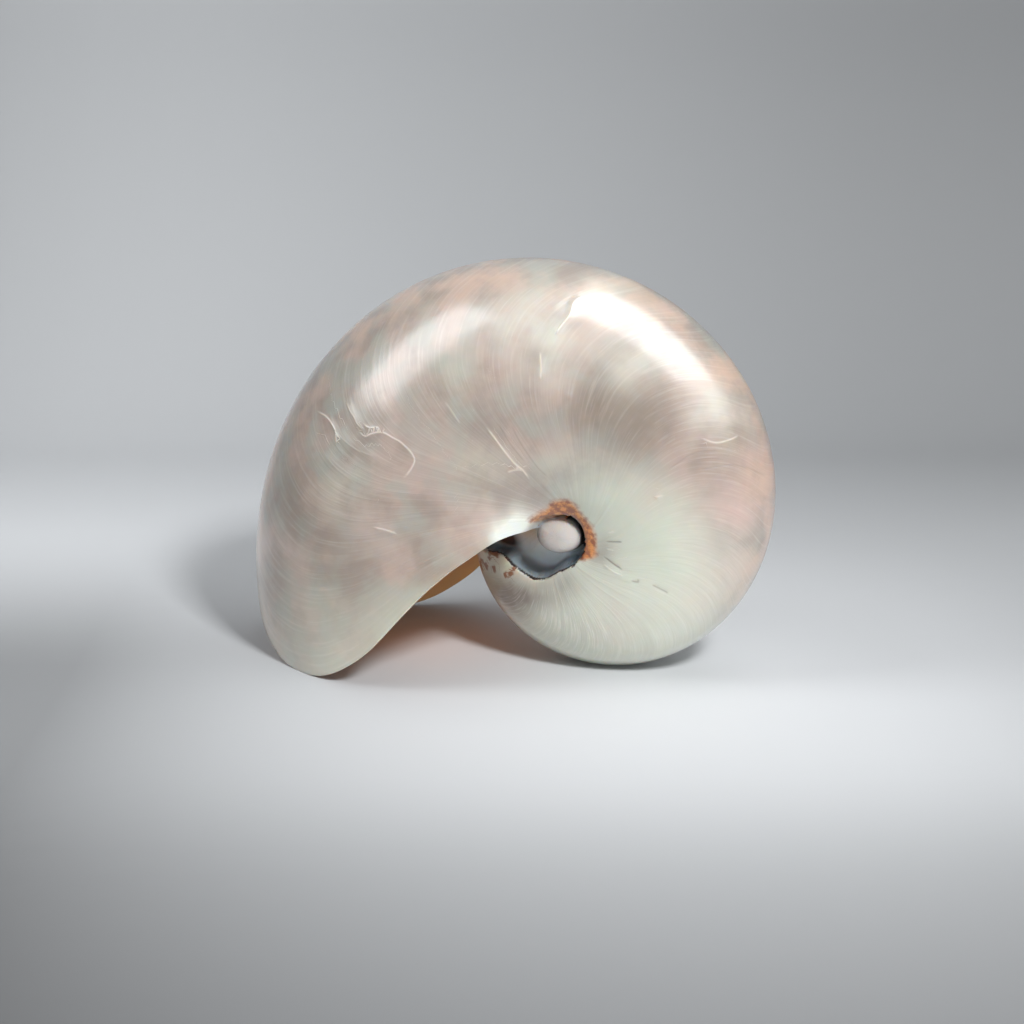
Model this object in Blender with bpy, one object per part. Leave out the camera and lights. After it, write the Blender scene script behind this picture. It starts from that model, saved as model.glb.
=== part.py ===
"""Chambered sea shell, polished to the pearl layer and resting on its lip and its coil.

The shell is a flat coil. Each growth line is a half oval section that swells by the same factor
for every degree of turn. The coil is built filled, then the living chamber is hollowed out
behind the lip, an umbilical pocket is opened on each flank, and a round knob stands in each pocket.
"""
import math

import bmesh
import bpy
import numpy as np
from mathutils import Matrix

# Driving dimensions, in millimetres and degrees. A growth angle grows with the coil, and a full turn
# on from any place is the next whorl out.
COIL_RADIUS = 53.2          # keel of the coil, from its axis, one full turn after the start of the spiral
EXPANSION = 3.138           # how much the coil grows in one turn
HALF_WIDTH = 0.425          # widest half width of a section, as a share of its radius
WIDEST_AT = 0.434           # where the section is widest, as a share of its radius
ROUNDNESS = 1.94            # exponent of the oval between the widest place and the keel
FLANK_DROP = 0.10           # how far the flank falls from the widest place to the axis
LIP_ANGLE = 573.3           # growth angle of the lip's foremost point
CHAMBER_ANGLE = 162.0       # length of the living chamber, back from the lip
WALL = 2.0                  # thickness of the living chamber's wall at its back
LIP_WALL = 1.1              # and at the lip
LIP_TAPER = 4               # power by which the wall thins from back to lip: most of it close to the lip
INNER_LAYER = 0.6           # pearl laid over the older coil at the back of the living chamber
INNER_LAYER_AT_LIP = 0.05   # and where it feathers out at the mouth
SEPTUM_DEPTH = 20.0         # how far the wall that closes the living chamber bows back, in degrees
CALLUS_HEIGHT = 19.15       # half width of the shell on its axis
CALLUS_RADIUS = 11.7        # radius over which the flank blends into the axis

# How far the lip lies behind its foremost point: share of the radius, and degrees
LIP_LINE = ((0.0, 66.0), (0.062, 53.5), (0.10, 47.0), (0.141, 38.2), (0.19, 26.8), (0.25, 18.6),
            (0.343, 10.0), (0.435, 4.2), (0.52, 0.9), (0.61, 0.0), (0.70, 0.7), (0.79, 3.4),
            (0.87, 7.2), (0.93, 11.6), (1.0, 19.0))

# Outline of the broken hole round the axis: degrees from the right, and distance in millimetres
HOLE_LINE = ((-160.0, 20.6), (-151.0, 19.0), (-133.0, 17.2), (-117.0, 15.2), (-103.0, 11.8), (-90.0, 10.0),
             (-60.0, 8.3), (-20.0, 7.2), (20.0, 7.0), (52.0, 7.2), (76.0, 6.0), (115.0, 5.6), (161.0, 5.2),
             (169.0, 9.2), (178.5, 13.6), (188.0, 18.0), (194.0, 22.5))
POCKET_FLOOR = 13.3         # half width of the pocket's floor on the axis
POCKET_SLOPE = 0.32         # how fast the floor sinks away from the axis
KNOB_RADIUS = 6.1
KNOB_DEPTH = 6.2            # half length of the knob across the shell
KNOB_PLACE = (-1.1, 15.9, -1.0)

# Fineness of the solid
RING_STEP = 6.0
FLANK_STEPS = 16
SHARE_POWER = 1.35          # gathers a growth line's points towards the axis
CHAMBER_ENDS = 2            # points of a growth line that the living chamber stops short of, at the axis
SQUARE_END = 0.48           # power that squares the chamber's back end off beside the axis
RINGS_PAST_LIP = 2
SEPTUM_STEPS = 4
HOLE_STEPS = 30
FLOOR_RINGS = (0.4, 0.75, 1.0)
KNOB_SEGMENTS = (20, 12)
SHARP_ANGLE = 40.0

# Search for the place of rest
MOUTH_SIDE = -0.4           # the lip lies left of this share of the coil's radius, and the coil right of it
LARGEST_TURN = math.radians(5.0)
HALVINGS = 40

MM = 0.001
NAME = "nautilus_shell"


def radius(angle):
    """Distance of the keel from the axis at a growth angle in degrees."""
    return COIL_RADIUS * EXPANSION ** ((angle - 360.0) / 360.0)


def through(points, x):
    """Smooth curve through a few points, with the mean slope of its neighbours at each one."""
    px, py = np.array(points).T
    slope = np.gradient(py, px)
    i = np.clip(np.searchsorted(px, x) - 1, 0, len(px) - 2)
    step = px[i + 1] - px[i]
    t = np.clip((x - px[i]) / step, 0.0, 1.0)
    start = (1 + 2 * t) * (1 - t) ** 2 * py[i] + t * (1 - t) ** 2 * step * slope[i]
    end = t * t * (3 - 2 * t) * py[i + 1] + t * t * (t - 1) * step * slope[i + 1]
    return start + end


def half_width(share):
    """Half width of a section of radius 1, at a share of its radius."""
    out = np.clip((share - WIDEST_AT) / (1 - WIDEST_AT), 0, 1)
    back = np.clip((WIDEST_AT - share) / WIDEST_AT, 0, 1)
    oval = HALF_WIDTH * (1 - out ** ROUNDNESS) ** (1 / ROUNDNESS)
    return np.where(share >= WIDEST_AT, oval, HALF_WIDTH * (1 - FLANK_DROP * back ** 2))


SHARES = np.sin(np.linspace(0, math.pi / 2, FLANK_STEPS + 1)) ** SHARE_POWER


def growth_line(growth, offset=0.0, power=1.0):
    """Points of one growth line, from the axis on the near flank over the keel to the far flank.

    Returns angle, distance from the axis and place across the shell, moved outwards by offset.
    A power under 1 moves the points away from the axis, along the same surface.
    """
    angle = growth - through(LIP_LINE, SHARES)
    shares = SHARES ** power
    distance = radius(angle) * shares
    blend = 1 - np.exp(-(distance / CALLUS_RADIUS) ** 2)
    across = CALLUS_HEIGHT + (radius(angle) * half_width(shares) - CALLUS_HEIGHT) * blend
    across[-1] = 0.0
    angle = np.concatenate([angle, angle[-2::-1]])
    distance = np.concatenate([distance, distance[-2::-1]])
    across = np.concatenate([-across, across[-2::-1]])
    if offset:
        along_d = np.gradient(distance)
        along_y = np.gradient(across)
        length = np.hypot(along_d, along_y)
        distance = distance + offset * along_y / length
        across = across - offset * along_d / length
    return angle, distance, across


def place(angle, distance, across):
    """Points in space from angle, distance from the axis and place across."""
    turn = np.radians(angle)
    return np.stack([distance * np.cos(turn), across, distance * np.sin(turn)], axis=-1)


def mesh_object(name, points, faces, collection):
    """One object from its points in millimetres and its faces, with the faces turned outwards."""
    mesh = bpy.data.meshes.new(name)
    mesh.from_pydata((np.asarray(points) * MM).tolist(), [], faces)
    shape = bmesh.new()
    shape.from_mesh(mesh)
    bmesh.ops.recalc_face_normals(shape, faces=shape.faces)
    shape.to_mesh(mesh)
    shape.free()
    obj = bpy.data.objects.new(name, mesh)
    collection.objects.link(obj)
    return obj


def strip(first, second):
    """Faces between two rows of point numbers, with a triangle where the rows share a point."""
    faces = []
    for a, b, c, d in zip(first, first[1:], second[1:], second):
        corners = list(dict.fromkeys((a, b, c, d)))
        if len(corners) > 2:
            faces.append(corners)
    return faces


def filled_coil(growths, collection):
    """One whole turn of growth lines, filled to the axis and closed by a step from the lip to the coil."""
    points = [(0.0, -CALLUS_HEIGHT, 0.0), (0.0, CALLUS_HEIGHT, 0.0)]
    rows = []
    for growth in growths:
        ring = place(*growth_line(growth))[1:-1]
        rows.append([0] + list(range(len(points), len(points) + len(ring))) + [1])
        points.extend(ring.tolist())
    faces = []
    for i, row in enumerate(rows):
        faces += strip(row, rows[(i + 1) % len(rows)])
    return mesh_object("shell", points, faces, collection)


def living_chamber(collection):
    """Cutter for the living chamber: inside the wall, over the older coil, bowed in at the septum."""
    reach = CHAMBER_ANGLE + (RINGS_PAST_LIP + 0.5) * RING_STEP
    growths = LIP_ANGLE - CHAMBER_ANGLE + np.arange(0.0, reach, RING_STEP)
    points = []

    def add(row):
        points.extend(row.tolist())
        return list(range(len(points) - len(row), len(points)))

    outer_rows = []
    inner_rows = []
    for growth in growths:
        forward = np.clip((growth - growths[0]) / CHAMBER_ANGLE, 0, 1)
        layer = INNER_LAYER + (INNER_LAYER_AT_LIP - INNER_LAYER) * forward
        outer = growth_line(growth, -WALL + (WALL - LIP_WALL) * forward ** LIP_TAPER)
        inner = growth_line(growth - 360.0, layer, SQUARE_END + (1 - SQUARE_END) * forward)
        outer_rows.append(add(place(*outer)[CHAMBER_ENDS:-CHAMBER_ENDS]))
        inner_rows.append(add(place(*inner)[CHAMBER_ENDS:-CHAMBER_ENDS]))
    faces = []
    for i in range(len(growths) - 1):
        faces += strip(outer_rows[i], outer_rows[i + 1])
        faces += strip(inner_rows[i], inner_rows[i + 1])
        faces.append([outer_rows[i][0], outer_rows[i + 1][0], inner_rows[i + 1][0], inner_rows[i][0]])
        faces.append([outer_rows[i][-1], outer_rows[i + 1][-1], inner_rows[i + 1][-1], inner_rows[i][-1]])
    faces += strip(outer_rows[-1], inner_rows[-1])
    outer = growth_line(growths[0], -WALL)
    inner = growth_line(growths[0] - 360.0, INNER_LAYER, SQUARE_END)
    dished = np.sin(np.linspace(0, math.pi, len(outer[0]))) ** 2
    last = inner_rows[0]
    for k in range(1, SEPTUM_STEPS):
        v = k / SEPTUM_STEPS
        bow = SEPTUM_DEPTH * math.sin(math.pi * v) * dished
        distance = inner[1] + (outer[1] - inner[1]) * v
        across = inner[2] + (outer[2] - inner[2]) * v
        middle = add(place(outer[0] - bow, distance, across)[CHAMBER_ENDS:-CHAMBER_ENDS])
        faces += strip(last, middle)
        for end in (0, -1):
            faces.append([last[end], middle[end], outer_rows[0][end]])
        last = middle
    faces += strip(last, outer_rows[0])
    return mesh_object("cut_chamber", points, faces, collection)


def pocket(side, collection):
    """Cutter for the umbilical pocket: the hole's outline, open outwards, over a sunken floor."""
    angles = np.linspace(HOLE_LINE[0][0], HOLE_LINE[-1][0], HOLE_STEPS)
    edge = through(HOLE_LINE, angles)
    points = [(0.0, side * POCKET_FLOOR, 0.0)]
    rows = []
    for share in FLOOR_RINGS:
        floor = place(angles, edge * share, side * (POCKET_FLOOR - POCKET_SLOPE * edge * share))
        rows.append(list(range(len(points), len(points) + HOLE_STEPS)))
        points.extend(floor.tolist())
    top = place(angles, edge, side * np.full(HOLE_STEPS, 2 * CALLUS_HEIGHT))
    rows.append(list(range(len(points), len(points) + HOLE_STEPS)))
    points.extend(top.tolist())
    rows = [row + row[:1] for row in rows]
    faces = strip([0] * (HOLE_STEPS + 1), rows[0])
    for first, second in zip(rows, rows[1:]):
        faces += strip(first, second)
    faces.append(rows[-1][:-1])
    return mesh_object(f"cut_pocket_{'near' if side < 0 else 'far'}", points, faces, collection)


def knob(side, collection):
    """The pale round end of the older coil, standing in the pocket."""
    x, y, z = KNOB_PLACE
    around, along = KNOB_SEGMENTS
    shape = bmesh.new()
    bmesh.ops.create_uvsphere(shape, u_segments=around, v_segments=along, radius=KNOB_RADIUS * MM)
    bmesh.ops.rotate(shape, verts=shape.verts, matrix=Matrix.Rotation(math.pi / 2, 3, "X"))
    bmesh.ops.scale(shape, verts=shape.verts, vec=(1.0, KNOB_DEPTH / KNOB_RADIUS, 1.0))
    bmesh.ops.translate(shape, verts=shape.verts, vec=(x * MM, side * y * MM, z * MM))
    mesh = bpy.data.meshes.new("knob")
    shape.to_mesh(mesh)
    shape.free()
    obj = bpy.data.objects.new(f"add_knob_{'near' if side < 0 else 'far'}", mesh)
    collection.objects.link(obj)
    return obj


def combine(target, other, operation):
    """Boolean modifier on the target, with the other solid as its guide."""
    modifier = target.modifiers.new(other.name, "BOOLEAN")
    modifier.operation = operation
    modifier.object = other
    modifier.solver = "EXACT"
    other.display_type = "WIRE"
    other.hide_render = True


def resting_place(growths):
    """Matrix that turns the shell until lip and coil touch the ground, with the origin under its middle."""
    points = np.concatenate([place(*growth_line(growth)) for growth in growths]) * MM
    is_coil = points[:, 0] > MOUTH_SIDE * COIL_RADIUS * MM
    low, high = -LARGEST_TURN, LARGEST_TURN
    for _ in range(HALVINGS):
        turn = (low + high) / 2
        across = points[:, 0] * math.cos(turn) + points[:, 2] * math.sin(turn)
        height = points[:, 2] * math.cos(turn) - points[:, 0] * math.sin(turn)
        if height[~is_coil].min() > height[is_coil].min():
            high = turn
        else:
            low = turn
    middle = (across.min() + across.max()) / 2
    return Matrix.Translation((-middle, 0.0, -height.min())) @ Matrix.Rotation(turn, 4, "Y")


def pearl():
    """Polished pearl: pale warm grey, fairly glossy."""
    material = bpy.data.materials.new("pearl")
    material.use_nodes = True
    shader = material.node_tree.nodes["Principled BSDF"]
    shader.inputs["Base Color"].default_value = (0.52, 0.47, 0.42, 1.0)
    shader.inputs["Roughness"].default_value = 0.28
    shader.inputs["Metallic"].default_value = 0.0
    return material


def main():
    for obj in list(bpy.data.objects):
        bpy.data.objects.remove(obj)
    parts = bpy.data.collections.new(NAME)
    cutters = bpy.data.collections.new("cutters")
    for collection in (parts, cutters):
        bpy.context.scene.collection.children.link(collection)

    growths = LIP_ANGLE - 360.0 + np.arange(0.0, 360.0 + RING_STEP / 2, RING_STEP)
    shell = filled_coil(growths, parts)
    combine(shell, living_chamber(cutters), "DIFFERENCE")
    for side in (-1, 1):
        combine(shell, pocket(side, cutters), "DIFFERENCE")
    for side in (-1, 1):
        combine(shell, knob(side, cutters), "UNION")
    shell.data.materials.append(pearl())
    shell.data.shade_smooth()
    shell.data.set_sharp_from_angle(angle=math.radians(SHARP_ANGLE))

    rest = bpy.data.objects.new("rest", None)
    parts.objects.link(rest)
    for obj in [shell, *cutters.objects]:
        obj.parent = rest
    rest.matrix_world = resting_place(growths)


main()
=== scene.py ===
"""Polished finish of the chambered sea shell, on a pale studio floor.

The shell's surface is worked out in millimetres in the coil's own frame: its axis runs through the origin,
x is to the right, y away from the camera and z up. It is then turned and lifted to where it rests.
"""
import math

import bmesh
import bpy
import numpy as np
from mathutils import Matrix, Vector


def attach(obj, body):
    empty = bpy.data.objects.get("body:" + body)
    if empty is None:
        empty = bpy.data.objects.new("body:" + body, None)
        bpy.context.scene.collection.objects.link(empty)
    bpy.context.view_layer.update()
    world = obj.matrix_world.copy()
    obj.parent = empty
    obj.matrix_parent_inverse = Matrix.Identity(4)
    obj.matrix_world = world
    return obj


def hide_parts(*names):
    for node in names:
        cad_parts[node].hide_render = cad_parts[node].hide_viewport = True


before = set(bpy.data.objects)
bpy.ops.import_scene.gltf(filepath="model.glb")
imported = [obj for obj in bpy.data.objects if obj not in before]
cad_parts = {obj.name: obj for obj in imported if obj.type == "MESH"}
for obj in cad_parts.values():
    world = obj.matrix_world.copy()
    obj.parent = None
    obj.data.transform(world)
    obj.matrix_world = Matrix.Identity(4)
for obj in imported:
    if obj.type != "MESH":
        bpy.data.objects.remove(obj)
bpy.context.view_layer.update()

MM = 0.001

# The coil, in millimetres and degrees. A growth angle grows with the coil, one full turn for each whorl
COIL_RADIUS = 53.2
EXPANSION = 3.138
HALF_WIDTH = 0.425
WIDEST_AT = 0.434
ROUNDNESS = 1.94
FLANK_DROP = 0.10
LIP_ANGLE = 573.3
CHAMBER_ANGLE = 162.0
CALLUS_HEIGHT = 19.15
CALLUS_RADIUS = 11.7
REST_TURN = 0.0026677
REST_SHIFT = (20.856, 40.625)

# How far the lip lies behind its foremost point: share of the radius, and degrees
LIP_LINE = ((0.0, 66.0), (0.062, 53.5), (0.10, 47.0), (0.141, 38.2), (0.19, 26.8), (0.25, 18.6),
            (0.343, 10.0), (0.435, 4.2), (0.52, 0.9), (0.61, 0.0), (0.70, 0.7), (0.79, 3.4),
            (0.87, 7.2), (0.93, 11.6), (1.0, 19.0))

# Walls
WALL = 2.0
LIP_WALL = 1.0
LIP_EDGE = 0.75             # thickness of the lip's rounded edge
INNER_LAYER = 0.6
SEPTUM_DEPTH = 20.0

# The umbilical pocket: edge of the broken hole (unwrapped degrees, millimetres), its floor and its knob
HOLE_LINE = ((51.0, 5.4), (120.0, 5.6), (140.0, 6.6), (152.0, 9.5), (161.0, 12.5), (169.0, 15.5),
             (178.5, 19.0),
             (188.0, 24.0), (194.0, 26.8), (198.0, 26.6), (200.0, 24.0), (203.5, 20.7), (208.5, 19.3),
             (215.5, 18.5), (227.0, 17.2), (243.0, 15.2),
             (257.0, 11.8), (270.0, 10.0), (300.0, 8.3), (340.0, 7.2), (380.0, 7.0), (412.0, 7.2),
             (436.0, 6.6),
             (455.0, 6.6), (475.0, 7.4), (500.0, 8.3), (520.0, 8.6), (575.0, 8.6))
FLOOR_HEIGHT = 13.3
FLOOR_SLOPE = 0.32
KNOB_RADIUS = 6.3
KNOB_OVAL = 0.80            # the knob is lower than it is wide
KNOB_DEPTH = 4.4
KNOB_PLACE = (-0.8, 17.1, -0.1)
LEDGE_REACH = 7.3           # a thin shelf under the knob ends here, measured from the knob's middle
LEDGE_RISE = 2.0

# The rust stain round the hole lies between two lines: unwrapped degrees, millimetres
STAIN_OUTER = ((222.0, 5.0), (300.0, 6.5), (310.0, 8.4), (322.0, 9.9), (336.0, 11.4), (350.0, 10.9),
               (377.0, 10.6),
               (399.0, 10.3), (415.0, 11.0), (426.0, 12.2), (441.0, 12.0), (456.0, 10.7), (465.0, 9.5),
               (478.0, 8.9), (490.0, 8.8), (501.0, 8.8), (507.0, 8.2), (513.0, 6.0), (540.0, 5.0))
STAIN_INNER = ((222.0, 0.0), (430.0, 0.0), (446.0, 4.9), (461.0, 5.2), (478.0, 5.3), (495.0, 5.6),
               (505.0, 7.2),
               (512.0, 9.0))

# Fineness of the surface
DISC_RADIUS = 5.5           # the columns of the grid are circles up to here
DISC_STEPS = 13
NEAR_STEPS = 108
FAR_STEPS = 70
COLUMN_POWER = 1.2
FINE_FROM, FINE_TO = 425.0, 535.0
FINE_STEP = 0.64
COARSE_STEP = 1.25
INNER_ROWS = 60
SEPTUM_ROWS = 12


def radius(angle):
    """Distance of the keel from the axis: it grows by the expansion for every full turn."""
    return COIL_RADIUS * EXPANSION ** ((angle - 360.0) / 360.0)


def through(points, x):
    """Smooth curve through a few points: cubic pieces with the mean slope of the neighbours at each point."""
    px, py = np.array(points).T
    slope = np.gradient(py, px)
    i = np.clip(np.searchsorted(px, x) - 1, 0, len(px) - 2)
    step = px[i + 1] - px[i]
    t = np.clip((x - px[i]) / step, 0.0, 1.0)
    start = (1 + 2 * t) * (1 - t) ** 2 * py[i] + t * (1 - t) ** 2 * step * slope[i]
    end = t * t * (3 - 2 * t) * py[i + 1] + t * t * (t - 1) * step * slope[i + 1]
    return start + end


def ease(low, high, x):
    """Smooth step from 0 at low to 1 at high."""
    t = np.clip((x - low) / (high - low), 0.0, 1.0)
    return t * t * (3 - 2 * t)


def waves(x, seed, count=6, lowest=1.0, growth=1.9):
    """Rough line between -1 and 1: a sum of sines of rising frequency and falling height, seeded phases."""
    draw = np.random.default_rng(seed)
    total = np.zeros_like(np.asarray(x, dtype=float))
    scale = 0.0
    for k in range(count):
        frequency = lowest * growth ** k
        total = total + np.sin(x * frequency + draw.uniform(0, 2 * math.pi)) / growth ** (0.6 * k)
        scale += 1 / growth ** (0.6 * k)
    return total / scale


def flank(angle, distance):
    """Half width of the coil: an oval section scaled by the radius, blended to a fixed height on the axis."""
    keel = radius(angle)
    share = np.clip(distance / keel, 0.0, 1.0)
    out = np.clip((share - WIDEST_AT) / (1 - WIDEST_AT), 0, 1)
    back = np.clip((WIDEST_AT - share) / WIDEST_AT, 0, 1)
    oval = keel * HALF_WIDTH * np.where(share >= WIDEST_AT, (1 - out ** ROUNDNESS) ** (1 / ROUNDNESS),
                                        1 - FLANK_DROP * back ** 2)
    near_axis = np.exp(-(distance / CALLUS_RADIUS) ** 2) * (1 - share ** 6)
    return oval + (CALLUS_HEIGHT - oval) * near_axis


def hole_edge(angle, side):
    """Distance of the broken edge from the axis: a smooth outline with small teeth, larger at its foot."""
    rough = 0.12 + 0.22 * ease(235, 262, angle) * (1 - ease(318, 345, angle))
    seed = 3 if side < 0 else 8
    teeth = waves(np.radians(angle) * 9, seed, 6) * rough * (1 - ease(420, 450, angle))
    return through(HOLE_LINE, angle) + teeth


def hole_wall(angle):
    """Width over which the hole's wall drops: a bowl at its foot, steep at the right, wide under callus."""
    return 1.0 + 2.4 * (1 - ease(258, 300, angle)) + 1.85 * ease(425, 480, angle)


def pocket_height(x, z, angle, distance):
    """Half width inside the hole: the higher of a sloping floor and an oval knob, with a small fillet."""
    floor = FLOOR_HEIGHT - FLOOR_SLOPE * distance
    toward_lip = np.exp(-(((x + 7.5) / 4.0) ** 2 + ((z - 2.2) / 3.0) ** 2))
    floor = floor + 4.5 * toward_lip
    from_knob = np.hypot(x - KNOB_PLACE[0], (z - KNOB_PLACE[2]) / KNOB_OVAL)
    low_side = ease(0.5, -3.0, z)
    floor = floor + LEDGE_RISE * low_side * (1 - ease(LEDGE_REACH, LEDGE_REACH + 0.6, from_knob))
    callus_shelf = 17.9 * ease(440, 472, angle)
    floor = np.maximum(floor, callus_shelf)
    dome = KNOB_PLACE[1] + KNOB_DEPTH * np.sqrt(np.clip(1 - (from_knob / KNOB_RADIUS) ** 2, 0.0, 1.0))
    dome = dome - 9.0 * np.clip(from_knob - KNOB_RADIUS, 0.0, None)
    fillet = 0.35
    higher = np.maximum(floor, dome)
    return higher + fillet * np.exp(-np.abs(floor - dome) / fillet) * 0.5


def skin(angle, distance, side):
    """Half width of the outer skin at an unwrapped angle and a distance: the flank with the pocket let in.

    From the hole's edge inwards the skin sinks along a quarter circle, sharp at the edge, and softly under
    callus.
    """
    turn = np.radians(angle)
    x = distance * np.cos(turn)
    z = distance * np.sin(turn)
    inward = np.clip((hole_edge(angle, side) - distance) / hole_wall(angle), 0.0, 1.0)
    bowl = np.sqrt(1 - (1 - inward) ** 2)
    soft = inward * inward * (3 - 2 * inward)
    share = bowl + (soft - bowl) * ease(415, 450, angle)
    outside = flank(angle, distance)
    return outside + (pocket_height(x, z, angle, distance) - outside) * share


def lip_lag(share):
    """How many degrees a point of a growth line lies behind its foremost one."""
    return through(LIP_LINE, share)


def column_layout():
    """Disc share, outward share and side of every column of the grid, from the near pole to the far pole."""
    disc_near = np.arange(DISC_STEPS) / DISC_STEPS
    rise_near = np.sin(np.linspace(0, math.pi / 2, NEAR_STEPS + 1)) ** COLUMN_POWER
    rise_far = np.sin(np.linspace(0, math.pi / 2, FAR_STEPS + 1)) ** COLUMN_POWER
    disc = np.concatenate([disc_near, np.ones(NEAR_STEPS + 1 + FAR_STEPS), disc_near[::-1]])
    rise = np.concatenate([np.zeros(DISC_STEPS), rise_near, rise_far[-2::-1], np.zeros(DISC_STEPS)])
    side = np.concatenate([-np.ones(DISC_STEPS + NEAR_STEPS), [0.0], np.ones(FAR_STEPS + DISC_STEPS)])
    return disc, rise, side


DISC, RISE, SIDE = column_layout()
FIRST = DISC_STEPS                  # first column past the disc on the near side, where the lip begins
LAST = len(DISC) - 1 - DISC_STEPS   # and on the far side


def column_lag():
    """Lag of every column behind the lip's foremost point, by repeated substitution on the lip's row."""
    lag = np.full(len(DISC), 30.0)
    for _ in range(40):
        keel = radius(LIP_ANGLE - lag)
        distance = DISC_RADIUS + (keel - DISC_RADIUS) * RISE
        lag = lip_lag(distance / keel)
    return lag


LAG = column_lag()


def row_growths():
    """Growth angles of the outer rows: a whole turn, with finer steps across the scarred flank."""
    start = LIP_ANGLE - 360.0
    before = np.linspace(start, FINE_FROM, round((FINE_FROM - start) / COARSE_STEP), endpoint=False)
    fine = np.linspace(FINE_FROM, FINE_TO, round((FINE_TO - FINE_FROM) / FINE_STEP), endpoint=False)
    after = np.linspace(FINE_TO, LIP_ANGLE, round((LIP_ANGLE - FINE_TO) / COARSE_STEP) + 1)
    return np.concatenate([before, fine, after])


def grid(growths, lowest, columns):
    """Points of a patch of the shell's skin, one row for each growth angle.

    The unwrapped angle is the growth angle less the column's lag. The distance rises from the lowest to the
    keel by the column's share, and the height over the middle plane is the skin's half width there. Returns
    the points, their unwrapped angle and their distance from the axis.
    """
    growth = growths[:, None]
    angle = growth - LAG[columns][None, :]
    keel = radius(angle)
    low = np.broadcast_to(np.asarray(lowest, dtype=float).reshape(-1, 1), angle.shape)
    distance = np.where(DISC[columns] < 1, DISC_RADIUS * DISC[columns], low + (keel - low) * RISE[columns])
    across = np.where(SIDE[columns] <= 0, skin(angle, distance, -1), skin(angle, distance, 1))
    across = across * SIDE[columns]
    turn = np.radians(angle)
    points = np.stack([distance * np.cos(turn), across, distance * np.sin(turn)], axis=-1)
    return points, angle, distance


def grid_normals(points):
    """Unit normals of a grid, from the cross product of its two directions, away from the middle plane."""
    along = np.gradient(points, axis=0)
    over = np.gradient(points, axis=1)
    normal = np.cross(over, along)
    length = np.linalg.norm(normal, axis=-1, keepdims=True)
    return normal / np.maximum(length, 1e-9)


FAR = 50.0                  # millimetres, stands for no line near
LINE_PIECES = 4             # pieces between two given points of a line


def smooth_line(points):
    """Points along a smooth curve through a few given ones, as x and z in millimetres."""
    knots = np.arange(len(points))
    at = np.linspace(0, len(points) - 1, (len(points) - 1) * LINE_PIECES + 1)
    angle = np.radians(through(list(zip(knots, [a for a, _ in points])), at))
    out = through(list(zip(knots, [r for _, r in points])), at)
    return np.stack([out * np.cos(angle), out * np.sin(angle)], axis=-1)


def to_line(x, z, points):
    """Signed distance to a smooth line, and how far along it the nearest place lies, from 0 to 1."""
    line = smooth_line(points)
    best = np.full(x.shape, FAR)
    along = np.zeros(x.shape)
    pieces = len(line) - 1
    for k in range(pieces):
        start = line[k]
        run = line[k + 1] - start
        t = np.clip(((x - start[0]) * run[0] + (z - start[1]) * run[1]) / (run @ run), 0, 1)
        away = np.hypot(x - start[0] - t * run[0], z - start[1] - t * run[1])
        hand = np.where((x - start[0]) * run[1] - (z - start[1]) * run[0] < 0, -1.0, 1.0)
        closer = away < np.abs(best)
        best = np.where(closer, away * hand, best)
        along = np.where(closer, (k + t) / pieces, along)
    return best, along


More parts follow.
